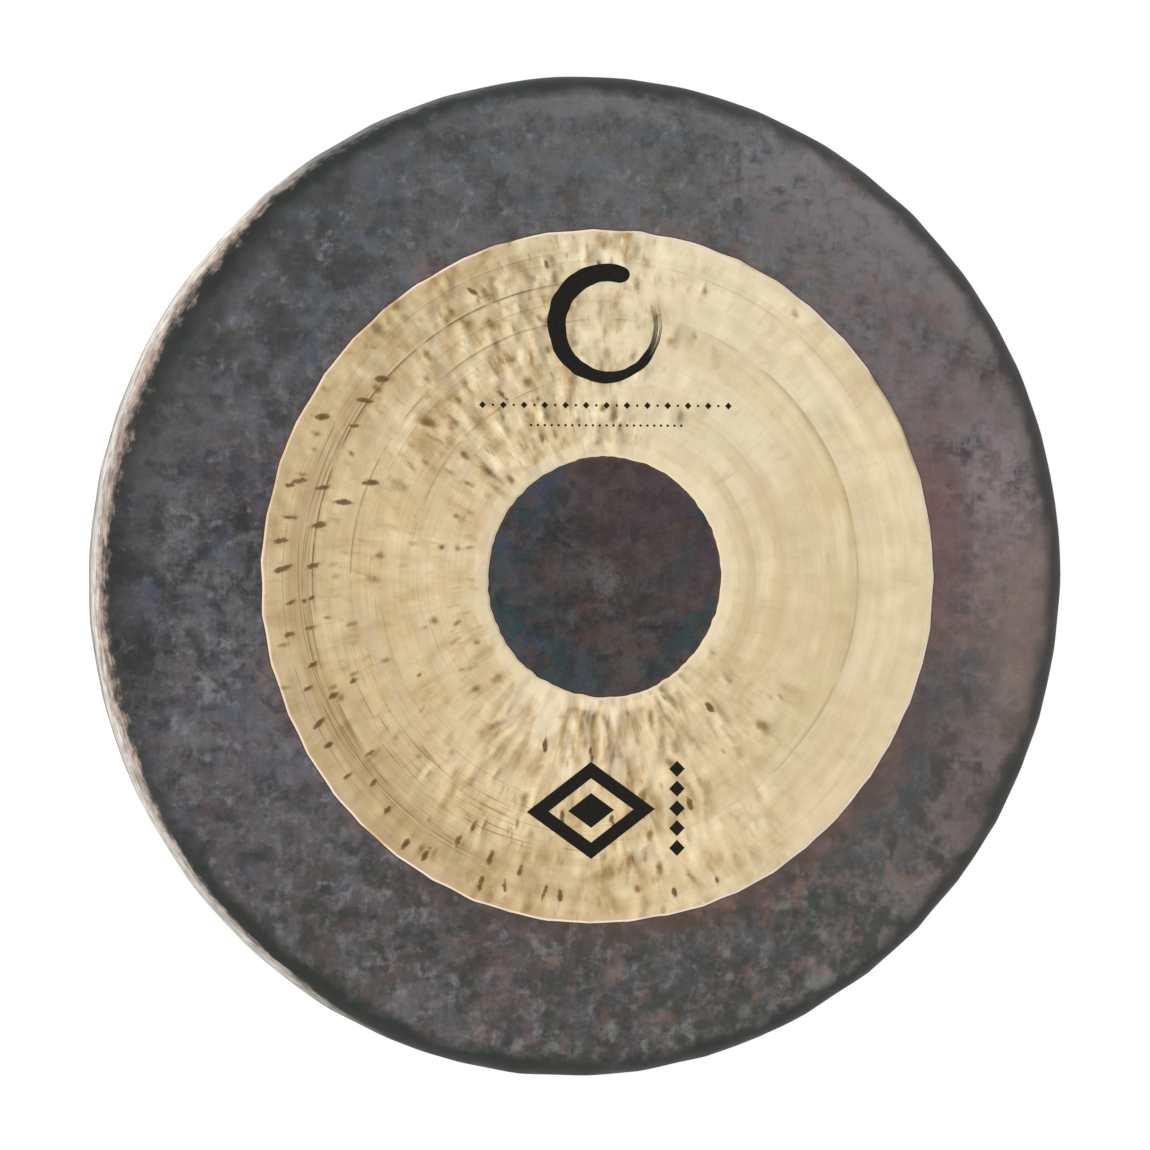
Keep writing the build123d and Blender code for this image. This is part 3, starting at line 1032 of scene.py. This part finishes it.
def scale(name, front):
    """Forge scale: a mottled dark oxide skin, blacker on the shoulder with painted shade, bare on the
    filed edge.
    """
    s = Shader(name)
    gap = s.field("band_gap")
    clouds = s.noise(28, 1, 4.0, 0.56, 0.35)
    wide = s.noise(75, 3, 2.0, 0.5, 0.0)
    other = s.noise(34, 9, 4.0, 0.55)
    cover = s.weigh((clouds, 0.6), (wide, 0.4))
    brushed, grain = oxide(s, cover, (44, 44, 46), (112, 110, 111))
    # blue and mauve at the left, milky and smoky patches all over
    s.tint((90, 96, 112), s.rise(other, 0.46, 0.70), s.side(170, -0.15, 0.25), 0.55)
    s.tint((90, 78, 84), s.patches(42, 44, 0.50, 0.66, 3.0, 0.55, 0.0),
           s.side(205, -0.05, 0.25), 0.5)
    s.tint(s.mix(s.side(180, -0.1, 0.2), (134, 134, 136), (121, 126, 140)),
           s.patches(19, 31, 0.54, 0.74, warp=0.4), s.rise(brushed, 0.40, 0.60), 0.72)
    right = s.side(8, 0.14, 0.34)
    s.tint(s.mix(right, (50, 51, 54), (64, 52, 49)),
           s.patches(21, 48, 0.54, 0.68, 3.0, warp=0.4),
           s.blend(s.side(40, 0.05, 0.25), 0.75, 0.3))
    # warmer and paler at the right
    s.tint((128, 111, 112), right, s.rise(other, 0.30, 0.60, 0.6))
    s.tint((148, 133, 139), s.facing(3, 12, 10), s.rise(brushed, 0.42, 0.60), 0.7)
    s.tint((126, 102, 90), s.facing(-14, 16, 14), s.side(-10, 0.2, 0.36),
           s.rise(wide, 0.35, 0.6, 0.6))
    s.tint((100, 82, 78), right, s.rise(cover, 0.52, 0.40), 0.45)
    s.tint((114, 78, 77), s.facing(5, 10, 14), s.rise_mm(gap, 62, 6),
           s.blend(brushed, 0.35, 1.0))
    # greenish below
    s.tint((41, 46, 43), s.patches(26, 13, 0.46, 0.62, 3.0, 0.55), s.side(-80, -0.02, 0.3), 0.85)
    s.tint((64, 73, 76), s.patches(24, 71, 0.47, 0.60), s.facing(312, 44, 26),
           s.rise_mm(gap, 110, 40), 0.7)
    s.tint((98, 80, 84), s.facing(232, 30, 22), s.patches(17, 56, 0.46, 0.60), 0.5)
    # tawny and slate above, ashen below
    s.tint((86, 91, 88), s.side(100, 0.08, 0.34, 0.3))
    upper = s.side(100, 0.06, 0.30)
    s.tint((98, 90, 83), s.patches(21, 91, 0.50, 0.64), upper, 0.42)
    s.tint((94, 100, 111), s.patches(25, 93, 0.51, 0.64), upper, 0.5)
    s.tint((126, 128, 128), s.patches(17, 52, 0.49, 0.72, 3.0), s.rise(brushed, 0.38, 0.58),
           s.side(-80, 0.0, 0.3))
    s.tint((66, 66, 66), s.facing(-33, 14, 14), s.rise_mm(gap, 95, 20), 0.55)
    s.tint((88, 82, 70), s.side(-90, 0.08, 0.34), 0.2)
    # single places: dusty, sooty, earthy and ruddy
    s.tint((124, 120, 122), s.facing(58, 9, 12), s.rise_mm(gap, 25, 75),
           s.rise(brushed, 0.36, 0.56), 0.7)
    s.tint((52, 53, 54), s.facing(140, 13, 14), s.rise(other, 0.62, 0.44),
           s.within(gap, 36, 84, 16), 0.5)
    s.tint((72, 59, 49), s.facing(278, 42, 22), s.rise_mm(gap, 38, 4), 0.42)
    s.tint((140, 118, 110), s.facing(-9, 8, 8), s.rise_mm(gap, 40, 90), 0.4)
    if not front:
        s.tint((40, 38, 37), 0.5)
    s.vary(0.12, grain)
    # rust, flecks and wisps
    s.tint((96, 70, 58), s.facing(306, 34, 26), s.rise_mm(gap, 30, 4),
           s.rise(other, 0.30, 0.55, 0.6))
    rust_noise = s.weigh((s.noise(22, 12, 4.0, 0.56), 0.7), (brushed, 0.3))
    rust = s.most(
        s.times(s.rise(rust_noise, 0.50, 0.68), s.facing(288, 38, 22)),
        s.times(s.rise(rust_noise, 0.50, 0.66), s.facing(42, 20, 18), 0.6),
        s.times(s.rise(rust_noise, 0.44, 0.64), s.rise_mm(gap, 22, 2), s.rise(wide, 0.42, 0.55), 0.7),
        s.times(s.patches(9, 15, 0.58, 0.74, 4.0, 0.65, 0.4), 0.35))
    s.tint(s.mix(s.rise(other, 0.42, 0.58), (132, 95, 77), (132, 106, 103)), rust, 0.62)
    s.tint((150, 148, 149), s.patches(3.4, 25, 0.62, 0.78, 3.0, 0.7, 0.5),
           s.rise(clouds, 0.44, 0.6), 0.45)
    s.tint((140, 142, 149), s.patches(14, 97, 0.53, 0.70, 4.0, 0.66, 0.5),
           s.rise(brushed, 0.42, 0.60), s.side(170, -0.25, 0.05), 0.6)
    s.tint((84, 54, 40), s.rise_mm(gap, 1.6, 0.7, 0.75))
    # painted shade over the dark scale: the shoulder is nearly black, greenish but for the right
    uneven = s.minus(other, 0.5)
    # painted shade spreading in from the shoulder at the left
    s.tint((50, 52, 50), s.rise_mm(s.minus(s.axis_radius, s.times(uneven, 60 * MM)), 368, 406),
           s.facing(152, 30, 28), 0.66)
    # a paler line where the face meets the shoulder, at the top
    s.tint((130, 128, 129), s.within(s.axis_radius, 396, 406, 7), s.facing(68, 44, 22),
           s.rise(other, 0.36, 0.58, 0.34 if front else 0.0))
    # painted shade towards the edge at the right
    edge = s.minus(s.axis_radius, s.times(uneven, 22 * MM))
    s.tint((72, 68, 66), s.rise_mm(edge, 384, 414), s.facing(0, 20, 18), 0.5)
    edge = s.minus(edge, s.times(s.facing(88, 26, 26), 5 * MM))
    edge = s.minus(edge, s.times(s.facing(270, 14, 14), 2.5 * MM))
    # painted shade on the shoulder itself
    shoulder_shade = s.rise_mm(edge, 401, 416, 0.94)
    s.tint(s.mix(s.facing(20, 40, 30), (33, 39, 34), (52, 50, 48)),
           shoulder_shade, s.blend(s.facing(180, 22, 20), 1.0, 0.55))
    # wear and a painted reflection: the rim is paler metal at the left, raggedly half-way up and
    # cleanly below
    fuzz, hair = [s.noise_at(s.vector(s.times(s.cosine, turns), s.math("DIVIDE", s.y, length * MM),
                                      s.times(s.sine, turns)), detail, rough)
                  for turns, length, detail, rough in ((38.0, 5, 4.0, 0.62), (16.0, 1.8, 3.0, 0.6))]
    left = s.along(s.cosine, s.sine, 187)
    below = s.rise(s.sine, -0.15, -0.75)
    start = s.plus(s.rise(s.sine, -0.78, -0.92, 5 * MM), s.rise(left, 0.75, 0.35, 4.4 * MM))
    start = s.plus(s.plus(start, s.times(below, 1.6 * MM)), FRONT_Y + 9.1 * MM)
    torn = s.plus(s.about(fuzz, s.blend(below, 14 * MM, 4 * MM)), s.about(hair, 6 * MM))
    back = s.minus(s.plus(s.y, torn), start)
    worn = s.times(s.rise(s.math("DIVIDE", back, s.blend(below, 3.4 * MM, 1.6 * MM)), -1.0, 1.0),
                   s.rise(left, 0.0, 0.42), s.rise(s.sine, -0.94, -0.74), 0.94 if front else 0.0)
    left_on = s.patches(15, 80, 0.52, 0.60, 4.0, 0.62)
    wall = s.rise(s.y, FRONT_Y + 30 * MM, FRONT_Y + 50 * MM, 0.8)
    worn = s.times(worn, s.minus(1.0, s.times(left_on, wall)))
    in_share = s.math("DIVIDE", back, s.blend(below, 12 * MM, 5 * MM))
    pale = s.mix(s.rise(in_share, 0.08, 1.0), (196, 173, 160), (240, 233, 221))
    outer_wall = s.mix(s.facing(193, 13, 14), (176, 170, 163), (152, 147, 141))
    pale = s.mix(s.rise(s.y, FRONT_Y + 20 * MM, FRONT_Y + 40 * MM), pale, outer_wall)
    pale = s.mix(s.times(below, 0.55), pale, (182, 178, 168))
    pale = s.mix(s.rise(left, 0.68, 0.40), pale, s.mix(below, (122, 124, 122), (176, 172, 166)))
    pale = s.brighten(pale, 0.24, s.rise(hair, 0.3, 0.7))
    pale = s.brighten(pale, 0.16, s.rise(fuzz, 0.35, 0.65))
    # the pale colour laid on the rim: wear, with a painted reflection of the light at the left
    s.tint(pale, worn)
    bare = s.rise(s.y, EDGE_Y - 0.5 * MM, EDGE_Y - 0.1 * MM)
    s.tint((190, 164, 112), bare)
    rough = s.plus(s.blend(s.rise(clouds, 0.35, 0.65), 0.42, 0.55), s.times(shoulder_shade, 0.12))
    metal = s.most(bare, s.times(worn, 0.5))
    if not front:
        rough, metal = s.plus(rough, 0.12), bare
    s.set(Base_Color=s.colour, Metallic=metal, Roughness=rough, IOR=1.42)
    oxide_relief(s, clouds, brushed, grain)
    return s.material


def centre_scale(name, front):
    """The dark spot left in the middle of the band."""
    s = Shader(name)
    gap = s.field("centre_gap")
    clouds = s.noise(24, 4, 4.0, 0.62, 0.6)
    other = s.noise(30, 16, 3.0, 0.55, 0.4)
    patches = s.noise(15, 36)
    brushed, grain = oxide(s, clouds, (33, 31, 31), (78, 73, 72))
    s.tint((82, 58, 48), s.rise(patches, 0.44, 0.62), s.rise(other, 0.36, 0.54), 0.6)
    s.tint((76, 54, 61), s.side(48, 0.0, 0.07), s.rise(patches, 0.58, 0.42), 0.65)
    s.tint((38, 36, 35), s.patches(20, 61, 0.53, 0.66), 0.7)
    blue = s.most(s.side(150, 0.045, 0.095, 0.8), s.side(222, 0.03, 0.09, 0.85),
                  s.times(s.side(-14, 0.045, 0.09), s.rise(other, 0.56, 0.44), 0.7))
    s.tint(s.mix(s.rise(other, 0.44, 0.56), (32, 62, 64), (50, 64, 86)),
           blue, s.patches(16, 18, 0.36, 0.56, warp=0.0))
    # a paler swirl where the gong was centred on the lathe
    middle = s.hypot(s.times(s.minus(s.x, 5 * MM), 1.3), s.z)
    s.tint((94, 92, 93), s.rise_mm(s.minus(middle, s.times(grain, 6 * MM)), 17, 6),
           s.blend(s.patches(5, 62, 0.42, 0.56, 3.0, warp=0.8), 0.25, 0.8))
    s.tint((104, 98, 100), s.rise_mm(middle, 40, 16), s.rise(s.strokes(3, 9, 60), 0.48, 0.66), 0.5)
    s.vary(0.28, grain)
    s.tint((124, 118, 120), s.patches(3.0, 25, 0.64, 0.76, 3.0, 0.7, 0.5), 0.6)
    s.tint((104, 62, 44), s.rise_mm(gap, -4.0, -0.6), s.patches(20, 19, 0.4, 0.6, 3.0, warp=0.0), 0.6)
    # painted shade: a dark line along the lower left of the centre's edge
    s.tint((42, 30, 24), s.rise_mm(gap, -1.8, -0.4), s.facing(215, 70, 30), 0.8)
    rough = s.blend(s.rise(clouds, 0.35, 0.65), 0.42, 0.55)
    if not front:
        rough = s.plus(rough, 0.12)
    s.set(Base_Color=s.colour, Metallic=0.0, Roughness=rough, IOR=1.42)
    oxide_relief(s, clouds, brushed, grain)
    return s.material


def printed_ink(name):
    s = Shader(name)
    worn = s.noise(4, 2, 4.0, 0.65, 0.0)
    s.colour = s.mix(s.rise(worn, 0.35, 0.75), (14, 13, 8), (30, 27, 18))
    s.set(Base_Color=s.colour, Roughness=s.blend(worn, 0.55, 0.7), IOR=1.3)
    return s.material


FINISH = {
    band_front: (bronze("bronze_front", True), "lathed_bronze", "bronze_plate"),
    band_back: (bronze("bronze_back", False), "lathed_bronze", "bronze_plate"),
    outer_front: (scale("scale_front", True), "forge_scale_front", "outer_scale_front"),
    outer_back: (scale("scale_back", False), "forge_scale_back", "outer_scale_back"),
    centre_front: (centre_scale("centre_front", True), "forge_scale_front", "centre_scale_front"),
    centre_back: (centre_scale("centre_back", False), "forge_scale_back", "centre_scale_back"),
}
ink_material = printed_ink("ink")
for node, piece in ink.items():
    FINISH[piece] = (ink_material, "printing_ink", node)

for piece, (material, slot, node) in FINISH.items():
    piece.data.materials.clear()
    piece.data.materials.append(material)
    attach(piece, "root")
    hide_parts(node)


# ---------------------------------------------------------------- floor, light and camera

def make_floor():
    mesh = bpy.data.meshes.new("floor")
    work = bmesh.new()
    bmesh.ops.create_circle(work, cap_ends=True, radius=2.0, segments=128)
    work.to_mesh(mesh)
    work.free()
    floor = bpy.data.objects.new("floor", mesh)
    floor.location = (0, 0.2, -1.0)
    bpy.context.scene.collection.objects.link(floor)
    material = bpy.data.materials.new("floor")
    material.use_nodes = True
    skin = material.node_tree.nodes["Principled BSDF"]
    for name, value in (("Base Color", (0.8, 0.8, 0.79, 1)), ("Roughness", 0.9),
                        ("Emission Color", (1, 1, 1, 1)), ("Emission Strength", 0.15)):
        skin.inputs[name].default_value = value
    mesh.materials.append(material)


# (direction, half-width and softness in degrees, brightness); 0 is in front of the face, and
# positive directions are to the right as seen from there
SOFTBOXES = [
    (38, 24, 16, 0.85),
    (-80, 40, 24, 0.55),
    (-165, 26, 14, 0.9),
    (125, 30, 24, 0.35),
]
DIM = 0.36


def make_light():
    world = bpy.data.worlds.new("studio")
    bpy.context.scene.world = world
    world.use_nodes = True
    sky = Tree(world.node_tree)
    x, y, z = sky.apart(sky.node("TexCoord", {}, "Generated"))
    flat = sky.most(sky.hypot(x, y), 1e-4)
    total = sky.plus(DIM, sky.rise(z, 0.2, 1.0, 0.5))
    for middle, half, soft, strength in SOFTBOXES:
        ends = [math.cos(math.radians(half + part)) for part in (soft, -soft)]
        turned = sky.math("DIVIDE", sky.along(x, y, middle - 90), flat)
        across = sky.rise(turned, *ends, strength)
        total = sky.plus(total, sky.times(across, sky.rise(flat, 0.35, 0.8)))
    seen = sky.node("LightPath", {}, "Is Camera Ray")
    light = sky.node("Background", {"Color": (255, 255, 255), "Strength": sky.most(total, seen)})
    sky.node("OutputWorld", {"Surface": light}, None)


VIEW_YAW = math.radians(14.6)
VIEW_PITCH = math.radians(1.6)
VIEW_DISTANCE = 2.9
VIEW_LENS = 106.6
VIEW_SHIFT = (26 * MM, 1.9 * MM)  # how far left of and above the centre the camera aims


def make_camera():
    back = Vector((-math.sin(VIEW_YAW) * math.cos(VIEW_PITCH),
                   -math.cos(VIEW_YAW) * math.cos(VIEW_PITCH), math.sin(VIEW_PITCH)))
    right = Vector((math.cos(VIEW_YAW), -math.sin(VIEW_YAW), 0))
    up = back.cross(right)
    face = Vector((BAND_CENTRE[0], FRONT_Y, BAND_CENTRE[1]))
    camera = bpy.data.objects.new("camera", bpy.data.cameras.new("camera"))
    camera.data.lens = VIEW_LENS
    camera.data.sensor_width = 36
    camera.location = face + back * VIEW_DISTANCE
    aim = face - right * VIEW_SHIFT[0] + up * VIEW_SHIFT[1]
    camera.rotation_mode = "QUATERNION"
    camera.rotation_quaternion = (camera.location - aim).to_track_quat("Z", "Y")
    bpy.context.scene.collection.objects.link(camera)
    bpy.context.scene.camera = camera


make_floor()
make_light()
make_camera()
bpy.context.scene.view_settings.view_transform = "Standard"
